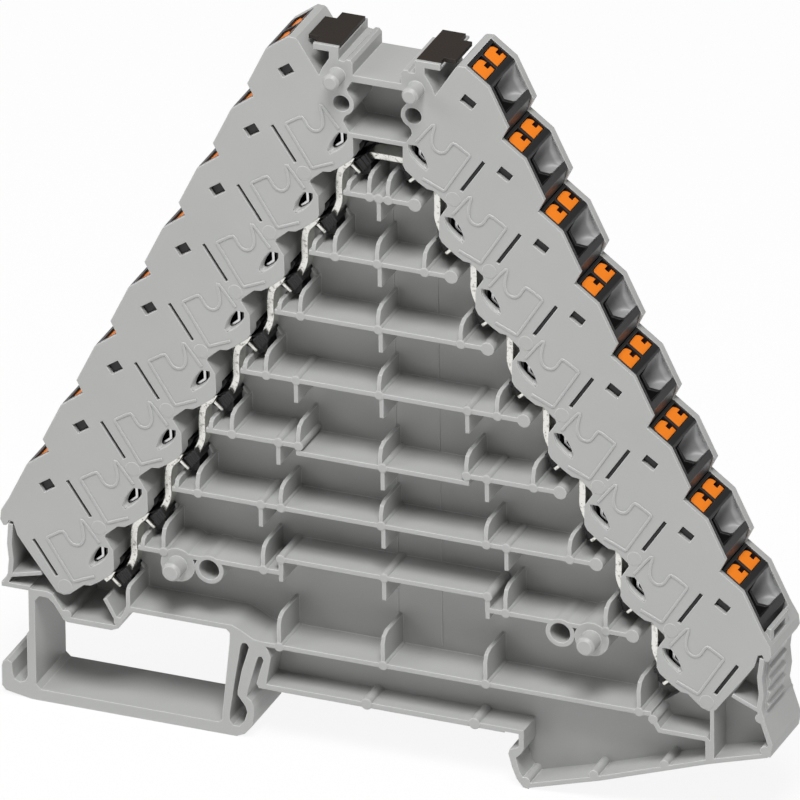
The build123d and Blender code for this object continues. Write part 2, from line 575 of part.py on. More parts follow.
# Clamp spring: flat strip bent three times, one for each pole
SPRING_WIDTH = POLE - PARTITION / 2 - 2 * SPRING_SIDE
with BuildPart() as spring:
    with BuildSketch(at_depth(INSERT_FRONT + SPRING_SIDE + SPRING_WIDTH)):
        Polygon(*strip(SPRING_PATH, SPRING), align=None)
    extrude(amount=SPRING_WIDTH)

# Current bar: one strip bent to a zigzag down both flanks, with a lug at each level
right_line = [point for level in range(LEVELS) for point in stepped(BAR_PATH, level)]
right_line = right_line[:3 - len(BAR_PATH)]
with BuildPart() as current_bar:
    with BuildSketch(at_depth(BAR_FRONT + BAR_WIDTH)):
        Polygon(*strip([(-x, z) for x, z in reversed(right_line)] + right_line, BAR), align=None)
    extrude(amount=BAR_WIDTH)
    with BuildSketch(at_depth(BAR_FRONT + BAR_WIDTH)):
        for level in range(LEVELS):
            Polygon(*strip(stepped(LUG_LINE, level), BAR - 2 * GAP), align=None)
        mirror(about=Plane.YZ)
    extrude(amount=BAR_FRONT + BAR_WIDTH - LUG_FRONT)

# Marker strip with its wider tab, lying in the carrier's channel
with BuildPart() as marker:
    with BuildSketch(Plane.XY.offset(HEAD_TOP - MARKER)):
        with Locations((CARRIER_INNER + GAP / 2, FRONT_Y + MARKER_LIP + GAP / 2)):
            Rectangle(MARKER_WIDTH, MARKER_LENGTH, align=Align.MIN)
        with Locations((CARRIER_INNER + GAP / 2 + MARKER_WIDTH, FRONT_Y + MARKER_TAB_START)):
            Rectangle(*MARKER_TAB, align=Align.MIN)
    extrude(amount=MARKER + GAP / 2)

current_bar.part.label = "current_bar"
export_step(current_bar.part, "parts/current_bar.step")

for side in ("left", "right"):
    for level in range(LEVELS):
        place = Location((LEVEL_RUN * level, 0, -LEVEL_DROP * level))
        pieces = {f"contact_insert_{side}_{level + 1}": insert.part.moved(place)}
        for pole, row in enumerate(("front", "rear")):
            pieces[f"push_button_{side}_{level + 1}_{row}"] = button.part.moved(
                place * Location((0, POLE * pole, 0)))
        for name, piece in pieces.items():
            if side == "left":
                piece = mirror(piece, about=Plane.YZ)
            piece.label = name
            export_step(piece, f"parts/{name}.step")
    piece = marker.part if side == "right" else mirror(marker.part, about=Plane.YZ)
    piece.label = f"marker_{side}"
    export_step(piece, f"parts/marker_{side}.step")

for level in range(LEVELS):
    springs = []
    for pole in range(POLES):
        right = spring.part.moved(Location((LEVEL_RUN * level, (POLE + PARTITION / 2) * pole,
                                            -LEVEL_DROP * level)))
        springs += [right, mirror(right, about=Plane.YZ)]
    group = Compound(label=f"clamp_springs_{level + 1}", children=springs)
    export_step(group, f"parts/clamp_springs_{level + 1}.step")
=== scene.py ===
# %% [markdown]
# # A stepped feed-through terminal block
# The block is a thin moulded slab. Its front is open, with two stepped flanks of dark contact
# inserts, orange push buttons, a bent tin-plated bar and a field of shallow ribbed cells.
# The solids come ready made and stay where they are. This notebook adds the camera, the light
# and the finishes, and prints what each step made.

# %% Load the finished solids
import math

import bmesh
import bpy
from mathutils import Matrix, Vector


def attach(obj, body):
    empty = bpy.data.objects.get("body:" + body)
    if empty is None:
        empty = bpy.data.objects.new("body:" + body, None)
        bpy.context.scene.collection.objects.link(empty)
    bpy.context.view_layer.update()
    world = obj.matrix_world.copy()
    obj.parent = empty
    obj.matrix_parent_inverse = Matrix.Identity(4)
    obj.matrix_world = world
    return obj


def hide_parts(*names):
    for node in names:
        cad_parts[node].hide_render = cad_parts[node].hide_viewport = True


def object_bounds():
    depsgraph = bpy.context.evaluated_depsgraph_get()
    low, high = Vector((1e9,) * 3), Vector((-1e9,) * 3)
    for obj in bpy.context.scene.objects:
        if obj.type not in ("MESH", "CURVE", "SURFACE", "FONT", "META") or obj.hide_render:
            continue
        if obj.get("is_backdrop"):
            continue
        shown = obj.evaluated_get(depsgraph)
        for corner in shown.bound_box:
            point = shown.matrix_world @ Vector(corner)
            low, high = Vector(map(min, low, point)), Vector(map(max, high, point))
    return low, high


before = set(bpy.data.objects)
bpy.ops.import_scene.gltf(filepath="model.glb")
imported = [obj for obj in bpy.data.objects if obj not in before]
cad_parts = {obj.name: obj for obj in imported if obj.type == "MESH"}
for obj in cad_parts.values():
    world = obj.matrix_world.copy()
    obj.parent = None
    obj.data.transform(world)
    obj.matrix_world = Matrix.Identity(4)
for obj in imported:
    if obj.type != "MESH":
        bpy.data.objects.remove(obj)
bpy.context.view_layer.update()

MM = 0.001

# %% [markdown]
# ## The camera
# The object is seen a little from the right and from above, through a very long lens, so its
# upright lines stay nearly parallel. A long lens far away gives that look. The place was found
# by fitting known points of the block, so the numbers below are angles and a distance rather
# than a matrix: they can be read and changed.

# %% Place the camera
AZIMUTH = math.radians(22.673)
ELEVATION = math.radians(27.374)
ROLL = -0.01393
DISTANCE = 4.0686
LENS, SENSOR = 1542.3, 36
CLIP_NEAR, CLIP_FAR = 0.5, 20
LOOK_AT = Vector((2.398, -3.4, 49.29)) * MM

side = Vector((math.cos(AZIMUTH), math.sin(AZIMUTH), 0))
rise = Vector((-math.sin(AZIMUTH) * math.sin(ELEVATION), math.cos(AZIMUTH) * math.sin(ELEVATION),
               math.cos(ELEVATION)))
back = Vector((math.sin(AZIMUTH) * math.cos(ELEVATION), -math.cos(AZIMUTH) * math.cos(ELEVATION),
               math.sin(ELEVATION)))
right = side * math.cos(ROLL) + rise * math.sin(ROLL)
up = rise * math.cos(ROLL) - side * math.sin(ROLL)

camera_data = bpy.data.cameras.new("long_lens")
camera_data.lens = LENS
camera_data.sensor_width = SENSOR
camera_data.clip_start, camera_data.clip_end = CLIP_NEAR, CLIP_FAR
camera = bpy.data.objects.new("camera", camera_data)
bpy.context.scene.collection.objects.link(camera)
turn = Matrix((right, up, back)).transposed().to_4x4()
camera.matrix_world = Matrix.Translation(LOOK_AT + back * DISTANCE) @ turn
bpy.context.scene.camera = camera
bpy.context.scene.view_settings.view_transform = "Standard"
print("camera at", [round(v, 3) for v in camera.matrix_world.translation])

# %% [markdown]
# ## Light and floor
# A soft lamp stands high up in front, so each shelf throws a soft shadow on the wall of the cell
# below it. A second, weaker lamp from the left models the ribs. The pale world fills the shadows
# a little. The floor is nearly white to the camera, but it still takes the block's shadow, so
# the block stands on something.


# %% A helper that makes a material and hands back its nodes
def new_material(name):
    """Empty material with its output and a Principled shader."""
    material = bpy.data.materials.new(name)
    material.use_nodes = True
    tree = material.node_tree
    tree.nodes.clear()
    output = tree.nodes.new("ShaderNodeOutputMaterial")
    shader = tree.nodes.new("ShaderNodeBsdfPrincipled")
    tree.links.new(shader.outputs["BSDF"], output.inputs["Surface"])
    return material, tree, shader, output


print("helper ready:", new_material.__name__)

# %% Pale world
WORLD_LIGHT = 0.22
world = bpy.data.worlds.new("pale_room")
bpy.context.scene.world = world
world.use_nodes = True
sky = world.node_tree.nodes["Background"]
sky.inputs["Color"].default_value = (1.0, 1.0, 1.0, 1)
sky.inputs["Strength"].default_value = WORLD_LIGHT
print("world strength", WORLD_LIGHT)

# %% Soft lamps
LAMP_TARGET = Vector((0, 0, 0.05))


def soft_lamp(name, azimuth, elevation, distance, size, watts):
    """Square area lamp that points at the middle of the block, placed by two angles in degrees."""
    around, above = math.radians(azimuth), math.radians(elevation)
    place = Vector((math.sin(around) * math.cos(above), -math.cos(around) * math.cos(above),
                    math.sin(above))) * distance
    data = bpy.data.lights.new(name, "AREA")
    data.size = size
    data.energy = watts
    lamp = bpy.data.objects.new(name, data)
    bpy.context.scene.collection.objects.link(lamp)
    aim = place.to_track_quat("Z", "Y").to_matrix().to_4x4()
    lamp.matrix_world = Matrix.Translation(LAMP_TARGET + place) @ aim
    return lamp


soft_lamp("key_lamp", azimuth=24, elevation=64, distance=1.2, size=0.45, watts=13.4)
soft_lamp("side_lamp", azimuth=-64, elevation=30, distance=1.3, size=0.6, watts=4.5)

# %% Floor that is pale to the camera and keeps the shadow
FLOOR_HALF = 3.0
FLOOR_GREY, FLOOR_ROUGH = 0.86, 0.9
GLOW_SHARE = 0.9
floor_mesh = bpy.data.meshes.new("floor")
corners = [(x * FLOOR_HALF, y * FLOOR_HALF, 0) for x, y in ((-1, -1), (1, -1), (1, 1), (-1, 1))]
floor_mesh.from_pydata(corners, [], [(0, 1, 2, 3)])
floor = bpy.data.objects.new("floor", floor_mesh)
bpy.context.scene.collection.objects.link(floor)
floor_material, tree, shader, output = new_material("pale_floor")
shader.inputs["Base Color"].default_value = (FLOOR_GREY, FLOOR_GREY, FLOOR_GREY, 1)
shader.inputs["Roughness"].default_value = FLOOR_ROUGH
glow = tree.nodes.new("ShaderNodeEmission")
glow.inputs["Strength"].default_value = 1.0
path = tree.nodes.new("ShaderNodeLightPath")
seen = tree.nodes.new("ShaderNodeMath")
seen.operation = "MAXIMUM"
tree.links.new(path.outputs["Is Camera Ray"], seen.inputs[0])
tree.links.new(path.outputs["Is Glossy Ray"], seen.inputs[1])
share = tree.nodes.new("ShaderNodeMath")
share.operation = "MULTIPLY"
share.inputs[1].default_value = GLOW_SHARE
tree.links.new(seen.outputs[0], share.inputs[0])
blend = tree.nodes.new("ShaderNodeMixShader")
tree.links.new(share.outputs[0], blend.inputs["Fac"])
tree.links.new(shader.outputs["BSDF"], blend.inputs[1])
tree.links.new(glow.outputs["Emission"], blend.inputs[2])
tree.links.new(blend.outputs["Shader"], output.inputs["Surface"])
floor_mesh.materials.append(floor_material)
floor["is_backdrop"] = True
print("floor is", 2 * FLOOR_HALF, "m wide")

# %% [markdown]
# ## Shared surface effects
# Moulded plastic and stamped metal share three things: edges that are never knife sharp, a fine
# grain, and uneven colour. Each effect is a node group with named sockets, so that a finish only
# says how much of it it wants. Groups hand out numbers and normals, and the shader stays in the
# finish itself.


# %% A helper that makes a node group with named sockets
def new_group(name, inputs, outputs):
    """Node group with float inputs {name: value} and outputs {name: socket type}."""
    group = bpy.data.node_groups.new(name, "ShaderNodeTree")
    for socket, value in inputs.items():
        made = group.interface.new_socket(socket, in_out="INPUT", socket_type="NodeSocketFloat")
        made.default_value = value
    for socket, kind in outputs.items():
        group.interface.new_socket(socket, in_out="OUTPUT", socket_type=kind)
    start = group.nodes.new("NodeGroupInput")
    end = group.nodes.new("NodeGroupOutput")
    return group, start, end


print("helper ready:", new_group.__name__)

# %% Softened edges
# The rounded normal gives each edge its highlight, and where it leaves the flat one is the edge; the
# plastics paint a highlight on that edge.
soft_edge, start, end = new_group("soft_edge", {"Radius": 0.00015, "Gain": 6.0},
                                  {"Normal": "NodeSocketVector", "Edge": "NodeSocketFloat"})
rounded = soft_edge.nodes.new("ShaderNodeBevel")
rounded.samples = 6
flat = soft_edge.nodes.new("ShaderNodeNewGeometry")
agree = soft_edge.nodes.new("ShaderNodeVectorMath")
agree.operation = "DOT_PRODUCT"
differ = soft_edge.nodes.new("ShaderNodeMath")
differ.operation = "SUBTRACT"
differ.inputs[0].default_value = 1.0
gained = soft_edge.nodes.new("ShaderNodeMath")
gained.operation = "MULTIPLY"
gained.use_clamp = True
soft_edge.links.new(start.outputs["Radius"], rounded.inputs["Radius"])
soft_edge.links.new(rounded.outputs["Normal"], agree.inputs[0])
soft_edge.links.new(flat.outputs["True Normal"], agree.inputs[1])
soft_edge.links.new(agree.outputs["Value"], differ.inputs[1])
soft_edge.links.new(differ.outputs[0], gained.inputs[0])
soft_edge.links.new(start.outputs["Gain"], gained.inputs[1])
soft_edge.links.new(rounded.outputs["Normal"], end.inputs["Normal"])
soft_edge.links.new(gained.outputs[0], end.inputs["Edge"])
print("group", soft_edge.name, "made")

# %% Moulding grain and cloudy colour
# Fine noise is the eroded skin of the mould; slow noise is the uneven colour of the resin.
grain, start, end = new_group("moulded_grain", {"Grain Scale": 5200.0, "Cloud Scale": 90.0},
                              {"Grain": "NodeSocketFloat", "Cloud": "NodeSocketFloat"})
place = grain.nodes.new("ShaderNodeTexCoord")
fine = grain.nodes.new("ShaderNodeTexNoise")
fine.inputs["Detail"].default_value = 3.0
fine.inputs["Roughness"].default_value = 0.6
slow = grain.nodes.new("ShaderNodeTexNoise")
slow.inputs["Detail"].default_value = 4.0
slow.inputs["Roughness"].default_value = 0.55
for noise, socket, out in ((fine, "Grain Scale", "Grain"), (slow, "Cloud Scale", "Cloud")):
    grain.links.new(place.outputs["Object"], noise.inputs["Vector"])
    grain.links.new(start.outputs[socket], noise.inputs["Scale"])
    grain.links.new(noise.outputs["Fac"], end.inputs[out])
print("group", grain.name, "made")


# %% [markdown]
# ## Moulded plastics
# The housing is a mid grey polyamide with a fine matt skin. The inserts are the same resin in
# black, and the buttons a smoother orange one. All are made by one function, because they
# differ only in colour, gloss and how strongly the grain shows.


# %% Helpers that join effects in a material
def place_group(tree, group, **values):
    """Puts a shared effect into a material with its own values."""
    node = tree.nodes.new("ShaderNodeGroup")
    node.node_tree = group
    for socket, value in values.items():
        node.inputs[socket].default_value = value
    return node


def tint(tree, factor, low, high):
    """Colour between two others, by a factor from another node."""
    mix = tree.nodes.new("ShaderNodeMix")
    mix.data_type = "RGBA"
    mix.inputs["A"].default_value = (*low, 1)
    mix.inputs["B"].default_value = (*high, 1)
    tree.links.new(factor, mix.inputs["Factor"])
    return mix


def span(tree, value, low, high, to_low, to_high):
    """Stretches a value from one range to another, held at the ends."""
    node = tree.nodes.new("ShaderNodeMapRange")
    limits = {"From Min": low, "From Max": high, "To Min": to_low, "To Max": to_high}
    for socket, number in limits.items():
        node.inputs[socket].default_value = number
    tree.links.new(value, node.inputs["Value"])
    return node


print("helpers ready:", place_group.__name__, tint.__name__, span.__name__)

# %% Plastic finishes
EDGE_GAIN = 5.0
# Share of the paler colour at the sharpest edge: a painted highlight where rounded rims catch the
# light.
EDGE_HIGHLIGHT = 0.75
GRAIN_LOW, GRAIN_HIGH = 0.3, 0.7
GLOSS_SPREAD = 0.06
GRAIN_STRENGTH = 0.5


def moulded_plastic(name, colour, rough, edge_highlight, radius, grain_depth, cloud=0.05):
    """Plastic finish: cloudy colour, a painted highlight on its edges, fine grain over softened edges.
    """
    material, tree, shader, _ = new_material(name)
    edges = place_group(tree, soft_edge, Radius=radius, Gain=EDGE_GAIN)
    skin = place_group(tree, grain)
    clouded = tint(tree, skin.outputs["Cloud"], [c * (1 - cloud) for c in colour],
                   [min(1, c * (1 + cloud)) for c in colour])
    # Painted highlight: the colour turns paler towards each edge, standing in for light caught by the
    # rounded rims.
    painted_highlight = tree.nodes.new("ShaderNodeMix")
    painted_highlight.data_type = "RGBA"
    painted_highlight.inputs["B"].default_value = (*[min(1, c + edge_highlight) for c in colour], 1)
    part = span(tree, edges.outputs["Edge"], 0, 1, 0, EDGE_HIGHLIGHT)
    tree.links.new(part.outputs["Result"], painted_highlight.inputs["Factor"])
    tree.links.new(clouded.outputs["Result"], painted_highlight.inputs["A"])
    tree.links.new(painted_highlight.outputs["Result"], shader.inputs["Base Color"])
    gloss = span(tree, skin.outputs["Grain"], GRAIN_LOW, GRAIN_HIGH, rough - GLOSS_SPREAD,
                 rough + GLOSS_SPREAD)
    tree.links.new(gloss.outputs["Result"], shader.inputs["Roughness"])
    bump = tree.nodes.new("ShaderNodeBump")
    bump.inputs["Strength"].default_value = GRAIN_STRENGTH
    bump.inputs["Distance"].default_value = grain_depth
    tree.links.new(skin.outputs["Grain"], bump.inputs["Height"])
    tree.links.new(edges.outputs["Normal"], bump.inputs["Normal"])
    tree.links.new(bump.outputs["Normal"], shader.inputs["Normal"])
    return material


grey_resin = moulded_plastic("grey_resin", (0.415, 0.42, 0.41), rough=0.46, edge_highlight=0.34,
                             radius=0.0002, grain_depth=0.00002)
black_resin = moulded_plastic("black_resin", (0.014, 0.013, 0.013), rough=0.42, edge_highlight=0.05,
                              radius=0.00014, grain_depth=0.000015, cloud=0.15)
orange_resin = moulded_plastic("orange_resin", (0.95, 0.235, 0.006), rough=0.38, edge_highlight=0.05,
                               radius=0.00018, grain_depth=0.00001)
# The housing's grey resin with painted shade: a darker copy for the wire scoops, which lie deep in the
# flank.
painted_shade_grey = moulded_plastic("painted_shade_grey", (0.29, 0.295, 0.29), rough=0.45, edge_highlight=0.1,
                               radius=0.0002, grain_depth=0.00002)
marker_card = moulded_plastic("marker_card", (0.02, 0.014, 0.01), rough=0.6, edge_highlight=0.03,
                              radius=0.0001, grain_depth=0.00001, cloud=0.2)
plastics = (grey_resin, black_resin, orange_resin, painted_shade_grey, marker_card)
print("plastics:", [m.name for m in plastics])

# %% [markdown]
# ## Tin-plated bar and spring steel
# The bar is stamped from strip, so its flat sides are bright tin and its cut edges, which face
# the viewer, are rough and speckled where the punch tore through. The specks are a threshold on
# noise, kept to faces that look forwards.

# %% Stamped edge specks
SPECK_START, SPECK_FULL = 0.53, 0.68
specks, start, end = new_group("stamped_specks", {"Scale": 2600.0, "Amount": 0.5},
                               {"Specks": "NodeSocketFloat", "Height": "NodeSocketFloat"})
place = specks.nodes.new("ShaderNodeTexCoord")
spots = specks.nodes.new("ShaderNodeTexNoise")
spots.inputs["Detail"].default_value = 5.0
spots.inputs["Roughness"].default_value = 0.7
facing = specks.nodes.new("ShaderNodeNewGeometry")
parts = specks.nodes.new("ShaderNodeSeparateXYZ")
forward = specks.nodes.new("ShaderNodeMath")
forward.operation = "ABSOLUTE"
dark = specks.nodes.new("ShaderNodeMapRange")
dark.inputs["From Min"].default_value = SPECK_START
dark.inputs["From Max"].default_value = SPECK_FULL
kept = specks.nodes.new("ShaderNodeMath")
kept.operation = "MULTIPLY"
scaled = specks.nodes.new("ShaderNodeMath")
scaled.operation = "MULTIPLY"
specks.links.new(place.outputs["Object"], spots.inputs["Vector"])
specks.links.new(start.outputs["Scale"], spots.inputs["Scale"])
specks.links.new(facing.outputs["True Normal"], parts.inputs[0])
specks.links.new(parts.outputs["Y"], forward.inputs[0])
specks.links.new(spots.outputs["Fac"], dark.inputs["Value"])
specks.links.new(dark.outputs["Result"], kept.inputs[0])
specks.links.new(forward.outputs[0], kept.inputs[1])
specks.links.new(kept.outputs[0], scaled.inputs[0])
specks.links.new(start.outputs["Amount"], scaled.inputs[1])
specks.links.new(scaled.outputs[0], end.inputs["Specks"])
specks.links.new(spots.outputs["Fac"], end.inputs["Height"])
print("group", specks.name, "made")

# %% Metal finishes
METAL_EDGE = 0.00012
SPECK_ROUGH = 0.6
SPECK_STRENGTH, SPECK_HEIGHT = 0.6, 0.00003


def bright_metal(name, colour, dark_colour, rough, amount, scale):
    """Plated metal with soft edges and specks on its cut edges."""
    material, tree, shader, _ = new_material(name)
    shader.inputs["Metallic"].default_value = 1.0
    edges = place_group(tree, soft_edge, Radius=METAL_EDGE, Gain=EDGE_GAIN)
    spots = place_group(tree, specks, Scale=scale, Amount=amount)
    skin = tint(tree, spots.outputs["Specks"], colour, dark_colour)
    tree.links.new(skin.outputs["Result"], shader.inputs["Base Color"])
    gloss = span(tree, spots.outputs["Specks"], 0, 1, rough, SPECK_ROUGH)
    tree.links.new(gloss.outputs["Result"], shader.inputs["Roughness"])
    bump = tree.nodes.new("ShaderNodeBump")
    bump.inputs["Strength"].default_value = SPECK_STRENGTH
    bump.inputs["Distance"].default_value = SPECK_HEIGHT
    tree.links.new(spots.outputs["Height"], bump.inputs["Height"])
    tree.links.new(edges.outputs["Normal"], bump.inputs["Normal"])
    tree.links.new(bump.outputs["Normal"], shader.inputs["Normal"])
    return material


bright_tin = bright_metal("bright_tin", (0.84, 0.83, 0.79), (0.16, 0.14, 0.11),
                          rough=0.26, amount=0.85, scale=1900.0)
spring_steel = bright_metal("spring_steel", (0.72, 0.72, 0.72), (0.4, 0.4, 0.4),
                            rough=0.24, amount=0.25, scale=3200.0)
print("metals:", bright_tin.name, spring_steel.name)

# %% [markdown]
# ## Dress the solids
# Each solid keeps its mesh and only gets its finish. The names say what each one is, so the
# finish is chosen by the start of the name.

# %% Give each solid its finish
FINISHES = {"housing": grey_resin, "contact_insert": black_resin, "push_button": orange_resin,
            "current_bar": bright_tin, "marker": marker_card, "clamp_springs": spring_steel}
for name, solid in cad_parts.items():
    finish = next(m for start_of_name, m in FINISHES.items() if name.startswith(start_of_name))
    solid.data.materials.clear()
    solid.data.materials.append(finish)
print("dressed", len(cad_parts), "solids")

# %% [markdown]
# ## Pieces that the solids only stand for
# The solids carry the main forms. The details below are seen close up: rounded posts where ribs
# cross, the shallow floor of the lowest field, the bent bar and the noses that hold it, the
# smooth wire entries and the rims of the small windows. Each is a mesh built here from the
# outline that the part has, and rides on the housing.

# %% The part's own measures, in mm
# FRONT is the plane of the plates and ribs; every depth counts backwards from it.
FRONT = -3.4
LEVELS = 8
LEVEL_RUN, LEVEL_DROP = 4.542, 8.753
SHELF_TOP = 75.95
SHELVES = 7
WALL = 0.6
CELL_DEPTH = 5.9


def beside_level(points, level, side):
    """Points drawn beside the first level of the right flank, moved to a level of either flank."""
    return [(side * (x + LEVEL_RUN * level), z - LEVEL_DROP * level) for x, z in points]


def every_place():
    """Each level of each flank, the right one first."""
    return [(level, side) for side in (1, -1) for level in range(LEVELS)]


print("places along the flanks:", len(every_place()))

# %% Where ribs meet the shelves
# A row is one shelf, counted from the top. On each side it reaches a level's run further out than
# the row above. The lowered, raised and bottom shelves lie between the rows.
OUTER_RIB = 1.2
CENTRE_RIB, CENTRE_ROWS = -0.3, (1, 2, 3, 5)
INNER_RIB, INNER_FROM = 10.8, 4
SIDE_HANGER, SIDE_ROWS = 11.0, (3, 4, 5)
SPREAD = 2.4
LOWERED_ROW, LOWERED_SHELF = 4, 40.0
RAISED_SHELF, RAISED_RIBS = 25.25, (-13.3, 0.0, 13.3)
BOTTOM_SHELF, BOTTOM_RIBS = 13.4, (-13.7, -0.3, 12.9, 32.6)


def guide_places(row):
    """Places across a shelf where a guide rib stands on it."""
    outer = OUTER_RIB + LEVEL_RUN * row
    places = [-outer, outer]
    if row in CENTRE_ROWS:
        places.append(CENTRE_RIB)
    if row >= INNER_FROM:
        inner = INNER_RIB + SPREAD * (row - INNER_FROM)
        places += [-inner, inner]
    return places


def side_hanger_places(row):
    """Places beside the middle where a rib hangs under a shelf."""
    if row not in SIDE_ROWS:
        return []
    across = SIDE_HANGER + SPREAD * (row - SIDE_ROWS[0])
    return [-across, across]


print("guide ribs in each row:", [len(guide_places(row)) for row in range(SHELVES)])


# %% Helpers that build meshes
RIM_ANGLE = 35


def add_prism(bm, outline, front, rear):
    """Upright outline in mm, stretched from one depth behind the front face to another."""
    rings = [[bm.verts.new((x * MM, (FRONT + depth) * MM, z * MM)) for x, z in outline]
             for depth in (front, rear)]
    bm.faces.new(rings[0])
    bm.faces.new(rings[1][::-1])
    for i in range(len(outline)):
        j = (i + 1) % len(outline)
        bm.faces.new((rings[0][i], rings[1][i], rings[1][j], rings[0][j]))


def circle_outline(x, z, radius, points=24):
    """Round outline in mm."""
    turns = [2 * math.pi * i / points for i in range(points)]
    return [(x + radius * math.cos(t), z + radius * math.sin(t)) for t in turns]


def finish_piece(name, bm, material, slot, soft=0.0, smooth=False, stands_for=()):
    """Turns the mesh into a piece that rides on the housing, with edges softened by some mm."""
    bmesh.ops.recalc_face_normals(bm, faces=bm.faces[:])
    mesh = bpy.data.meshes.new(name)
    bm.to_mesh(mesh)
    bm.free()
    for face in mesh.polygons:
        face.use_smooth = smooth
    mesh.materials.append(material)
    piece = bpy.data.objects.new(name, mesh)
    bpy.context.scene.collection.objects.link(piece)
    if soft:
        rim = piece.modifiers.new("rim", "BEVEL")
        rim.width = soft * MM
        rim.segments = 2
        rim.limit_method = "ANGLE"
        rim.angle_limit = math.radians(RIM_ANGLE)
        rim.harden_normals = False
    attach(piece, "housing")
    if stands_for:
        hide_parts(*stands_for)
    print("piece", name, "with", len(mesh.polygons), "faces")


print("helpers ready:", add_prism.__name__, circle_outline.__name__, finish_piece.__name__)

# %% [markdown]
# ## Rib posts and ejector marks
# A moulder adds a round post wherever thin ribs meet, so that the resin flows and the part can be
# pushed out of the mould. Their ends show as small circles on the front edges. They are plain
# round prisms with a soft rim, and stand a hair in front of the ribs, so the rim can be seen.

# %% Posts at the crossings
POST_RADIUS, SEAT_POST_RADIUS = 0.62, 0.74
POST_PROUD = 0.07
SEAT_POSTS = [(-2.5, 7.5), (11.4, 7.5)]
crossings = []
for row in range(SHELVES):
    line = SHELF_TOP - LEVEL_DROP * row - WALL / 2
    crossings += [(x, line) for x in guide_places(row) + side_hanger_places(row)]
crossings += [(0.0, SHELF_TOP - WALL / 2), (0.0, LOWERED_SHELF - WALL / 2)]
crossings += [(x, RAISED_SHELF - WALL / 2) for x in RAISED_RIBS]
crossings += [(x, BOTTOM_SHELF - WALL / 2) for x in BOTTOM_RIBS]
bm = bmesh.new()
for x, z in crossings:
    add_prism(bm, circle_outline(x, z, POST_RADIUS), -POST_PROUD, CELL_DEPTH)
for x, z in SEAT_POSTS:
    add_prism(bm, circle_outline(x, z, SEAT_POST_RADIUS), -POST_PROUD, CELL_DEPTH)
finish_piece("rib_posts", bm, grey_resin, "housing_plastic", soft=0.12)

# %% Ejector marks on the front plates
MARK_PLACE, MARK_RADIUS = (9.55, 77.35), 0.95
MARK_PROUD, MARK_REAR = 0.012, 0.2
bm = bmesh.new()
for level, side in every_place():
    (x, z), = beside_level([MARK_PLACE], level, side)
    add_prism(bm, circle_outline(x, z, MARK_RADIUS, points=32), -MARK_PROUD, MARK_REAR)
finish_piece("ejector_marks", bm, grey_resin, "housing_plastic")

# %% Shallow floor of the lowest field
# The field above the mounting seat is shallower than the cells of the middle.
LOWER_FIELD = [(-15.2, 11.4), (-15.4, 7.4), (17.3, 7.4), (17.3, 5.4), (16.9, 4.9), (16.2, 4.2),
               (16.4, 3.2), (16.9, 1.6), (17.7, 0.6), (27.5, 3.2), (41.5, 8.1), (49.1, 10.4),
               (49.3, 11.8), (48.3, 15.2), (47.9, 18.4), (48.2, 23.0), (46.8, 22.6), (43.4, 16.8),
               (41.0, 16.2), (40.0, 17.5), (34.4, 13.1), (-16.0, 13.1)]
FIELD_DEPTH, FIELD_REAR = 3.9, 8.4
bm = bmesh.new()
add_prism(bm, LOWER_FIELD, FIELD_DEPTH, FIELD_REAR)
finish_piece("lower_floor", bm, grey_resin, "housing_plastic")

# %% [markdown]
# ## Bent current bar
# The bar is one strip of tin-plated copper that snakes from nose to nose down both flanks. Its
# bends are round, so the line through its middle is smoothed by cutting its corners twice, and
# the strip gets rounded edges. A lug at each nose is stamped out of the same strip.


# %% Helpers for strips along a line
def cut_corners(points, rounds=2):
    """Smooths an open line by replacing each corner with two points."""
    for _ in range(rounds):
        smooth = [points[0]]
        for a, b in zip(points, points[1:]):
            smooth.append((a[0] * 0.75 + b[0] * 0.25, a[1] * 0.75 + b[1] * 0.25))
            smooth.append((a[0] * 0.25 + b[0] * 0.75, a[1] * 0.25 + b[1] * 0.75))
        points = smooth + [points[-1]]
    return points


def even_strip(points, width):
    """Outline of a strip of even width along a line."""
    sides = []
    for i in range(len(points)):
        a, b = points[max(i - 1, 0)], points[min(i + 1, len(points) - 1)]
        length = math.hypot(b[0] - a[0], b[1] - a[1])
        sides.append(((a[1] - b[1]) / length, (b[0] - a[0]) / length))
    upper = [(x + nx * width / 2, z + nz * width / 2) for (x, z), (nx, nz) in zip(points, sides)]
    lower = [(x - nx * width / 2, z - nz * width / 2) for (x, z), (nx, nz) in zip(points, sides)]
    return upper, lower


def add_strip(bm, points, width, front, rear):
    """Strip along a line as a row of quads, so that long bends stay clean."""
    upper, lower = even_strip(points, width)
    rows = []
    for above, below in zip(upper, lower):
        section = ((above, front), (above, rear), (below, rear), (below, front))
        rows.append([bm.verts.new((x * MM, (FRONT + depth) * MM, z * MM)) for (x, z), depth in section])
    for a, b in zip(rows, rows[1:]):
        for i in range(4):
            j = (i + 1) % 4
            bm.faces.new((a[i], a[j], b[j], b[i]))
    bm.faces.new(rows[0])
    bm.faces.new(rows[-1][::-1])


print("helpers ready:", cut_corners.__name__, even_strip.__name__, add_strip.__name__)

